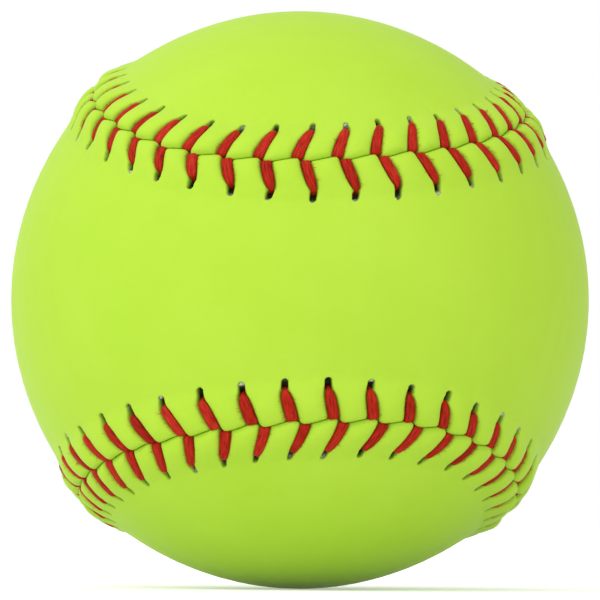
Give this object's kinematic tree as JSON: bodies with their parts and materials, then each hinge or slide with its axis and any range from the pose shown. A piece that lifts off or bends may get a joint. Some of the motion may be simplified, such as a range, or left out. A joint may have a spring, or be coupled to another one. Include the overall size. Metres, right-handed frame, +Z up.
{
  "type": "softball",
  "caption": "Round stitched ball with figure-eight cover panels sewn over a moulded core along a raised seam, for throwing, catching and batting.",
  "frame": {"origin": "centre of the ball", "axes": "+Y from the middle of the front panel's waist through the ball to the middle of the back panel's waist, +Z up through the back panel's upper lobe, +X to the right through the front panel's lobe"},
  "size_m": [0.097, 0.097, 0.097],
  "materials": {
    "core": "moulded polyurethane, matte",
    "cement": "dried latex cement, dull",
    "cover": "optic yellow-green synthetic leather, fine grain, low sheen",
    "thread": "red waxed thread, low sheen"
  },
  "bodies": {
    "root": {"core": "core", "cement_front": "cement", "cement_back": "cement", "cover_front": "cover", "cover_back": "cover", "thread_first_needle": "thread", "thread_second_needle": "thread"}
  },
  "joints": []
}
